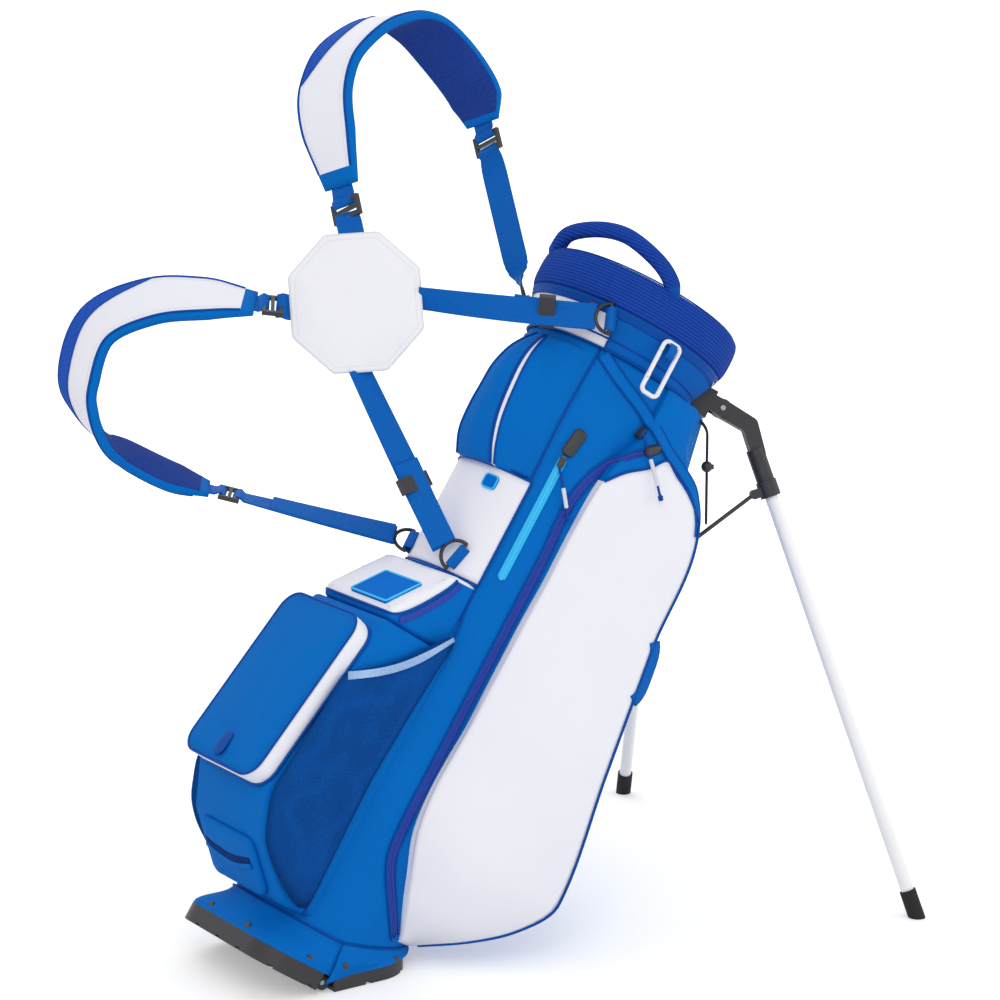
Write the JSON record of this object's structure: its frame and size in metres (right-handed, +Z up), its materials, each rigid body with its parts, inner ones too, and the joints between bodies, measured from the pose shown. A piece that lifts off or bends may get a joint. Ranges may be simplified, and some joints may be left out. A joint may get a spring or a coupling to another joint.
{
  "type": "golf stand bag",
  "caption": "Leaning golf stand bag in blue and white fabric with spread white legs, hinged foot plate, round carrying handle, side pockets and a double shoulder harness.",
  "frame": {"origin": "centre of the foot plate's flat sole, on the ground", "axes": "+Z up, +X towards the legs, -Y the side with the zip and the clip"},
  "size_m": [0.8043, 0.5862, 1.0232],
  "materials": {
    "fabric_blue": "woven",
    "fabric_white": "smooth",
    "mesh_blue": "mesh",
    "pad_fabric": "padded",
    "webbing_blue": "woven",
    "zip_cyan": "matte",
    "black_plastic": "matte",
    "white_plastic": "gloss",
    "leg_white": "gloss",
    "steel": "satin",
    "dark_steel": "gloss",
    "rubber": "matte",
    "cord": "braided"
  },
  "bodies": {
    "bag": {"badges": "zip_cyan", "ball_gusset": "fabric_white", "ball_panel": "fabric_blue", "ball_pocket": "fabric_blue", "base_cup": "black_plastic", "body_shell": "fabric_blue", "bungee_cord": "cord", "club_sleeves": "fabric_blue", "divider_cross": "pad_fabric", "drink_pocket": "mesh_blue", "floor_pad": "rubber", "front_skirt": "fabric_blue", "harness_webbing": "webbing_blue", "leg_brackets": "black_plastic", "lid_pocket": "fabric_white", "lower_band": "fabric_blue", "lower_shoulder_pad": "pad_fabric", "mesh_pockets": "mesh_blue", "octagon_pad": "fabric_white", "rim_pad": "mesh_blue", "rivets": "steel", "rod_guides": "black_plastic", "side_panel_far": "fabric_white", "side_panel_near": "fabric_white", "side_pocket_far": "fabric_blue", "side_pocket_near": "fabric_blue", "spine_panel": "fabric_white", "stand_pins": "steel", "stay_rods": "dark_steel", "strap_buckles": "black_plastic", "strap_rings": "dark_steel", "top_cuff": "mesh_blue", "top_handle": "pad_fabric", "upper_pouch": "fabric_blue", "upper_shoulder_pad": "pad_fabric", "webbing_tabs": "webbing_blue", "zips": "zip_cyan"},
    "foot_plate": {"foot_plate": "black_plastic"},
    "push_frame": {"push_rods": "steel", "yoke": "black_plastic"},
    "near_leg": {"crank_arm_near": "black_plastic", "leg_tube_near": "leg_white", "leg_collar_near": "black_plastic", "leg_boot_near": "rubber"},
    "far_leg": {"crank_arm_far": "black_plastic", "leg_tube_far": "leg_white", "leg_collar_far": "black_plastic", "leg_boot_far": "rubber"},
    "near_strut": {"leg_strut_near": "steel"},
    "far_strut": {"leg_strut_far": "steel"},
    "clip": {"carabiner": "white_plastic"},
    "clip_gate": {"carabiner_gate": "white_plastic"},
    "side_slider": {"side_zip_slider": "black_plastic", "side_pull_cord": "cord"},
    "pocket_slider": {"pocket_zip_slider": "black_plastic", "pocket_pull_cord": "cord"},
    "upper_glide": {"upper_tri_glide": "black_plastic"},
    "lower_glide": {"lower_tri_glide": "black_plastic"},
    "lock_ball": {"cord_lock": "black_plastic"},
    "lock_button": {"cord_lock_button": "black_plastic"}
  },
  "joints": [
    {"name": "foot_plate_hinge", "type": "hinge", "parent": "bag", "child": "foot_plate", "pos_m": [-0.06, 0, 0.01], "axis": [0, 1, 0], "range_deg": [0, 34], "deforming": ["front_skirt"]},
    {"name": "stand_slide", "type": "slide", "parent": "bag", "child": "push_frame", "axis": [-0.5592, 0, -0.829], "range_m": [0, 0.05869]},
    {"name": "leg_near_hinge", "type": "hinge", "parent": "bag", "child": "near_leg", "pos_m": [0.50442, -0.06, 0.57497], "axis": [0.4018, 0.8793, -0.2557], "range_deg": [0, 50.1]},
    {"name": "leg_far_hinge", "type": "hinge", "parent": "bag", "child": "far_leg", "pos_m": [0.50442, 0.06, 0.57497], "axis": [-0.4018, 0.8793, 0.2557], "range_deg": [0, 50.1]},
    {"name": "strut_near_hinge", "type": "hinge", "parent": "near_leg", "child": "near_strut", "pos_m": [0.52504, -0.09761, 0.47803], "axis": [-0.442, -0.8811, 0.168], "range_deg": [0, 70.08]},
    {"name": "strut_far_hinge", "type": "hinge", "parent": "far_leg", "child": "far_strut", "pos_m": [0.52504, 0.09761, 0.47803], "axis": [0.442, -0.8811, -0.168], "range_deg": [0, 70.08]},
    {"name": "clip_swing", "type": "hinge", "parent": "bag", "child": "clip", "pos_m": [0.39069, -0.11697, 0.66857], "axis": [-0.8164, 0.1736, 0.5507], "range_deg": [0, 60]},
    {"name": "clip_gate_hinge", "type": "hinge", "parent": "clip", "child": "clip_gate", "pos_m": [0.35719, -0.11508, 0.63809], "axis": [0.144, 0.9848, -0.0971], "range_deg": [0, 28], "stiffness_Nm_per_rad": 0.02, "springref_deg": -11.46},
    {"name": "side_zip_slide", "type": "slide", "parent": "bag", "child": "side_slider", "axis": [-0.5592, 0, -0.829], "range_m": [0, 0.138]},
    {"name": "pocket_zip_slide", "type": "slide", "parent": "bag", "child": "pocket_slider", "axis": [-0.8076, -0.0611, -0.5865], "range_m": [0, 0.0491]},
    {"name": "upper_glide_slide", "type": "slide", "parent": "bag", "child": "upper_glide", "axis": [-0.7594, 0.6447, 0.0873], "range_m": [0, 0.0775]},
    {"name": "lower_glide_slide", "type": "slide", "parent": "bag", "child": "lower_glide", "axis": [-0.1816, 0.5024, 0.8453], "range_m": [0, 0.0859]},
    {"name": "cord_lock_slide", "type": "slide", "parent": "bag", "child": "lock_ball", "axis": [0, 0, 1], "range_m": [0, 0.0315]},
    {"name": "cord_lock_press", "type": "slide", "parent": "lock_ball", "child": "lock_button", "axis": [-0.7587, 0.6514, 0], "range_m": [0, 0.0012], "stiffness_N_per_m": 400}
  ],
  "couplings": [
    {"joint": "stand_slide", "follows": "foot_plate_hinge", "m_per_rad": 0.0989},
    {"joint": "leg_near_hinge", "follows": "foot_plate_hinge", "ratio": 1.4736},
    {"joint": "leg_far_hinge", "follows": "foot_plate_hinge", "ratio": 1.4736},
    {"joint": "strut_near_hinge", "follows": "foot_plate_hinge", "ratio": 2.0612},
    {"joint": "strut_far_hinge", "follows": "foot_plate_hinge", "ratio": 2.0612}
  ]
}
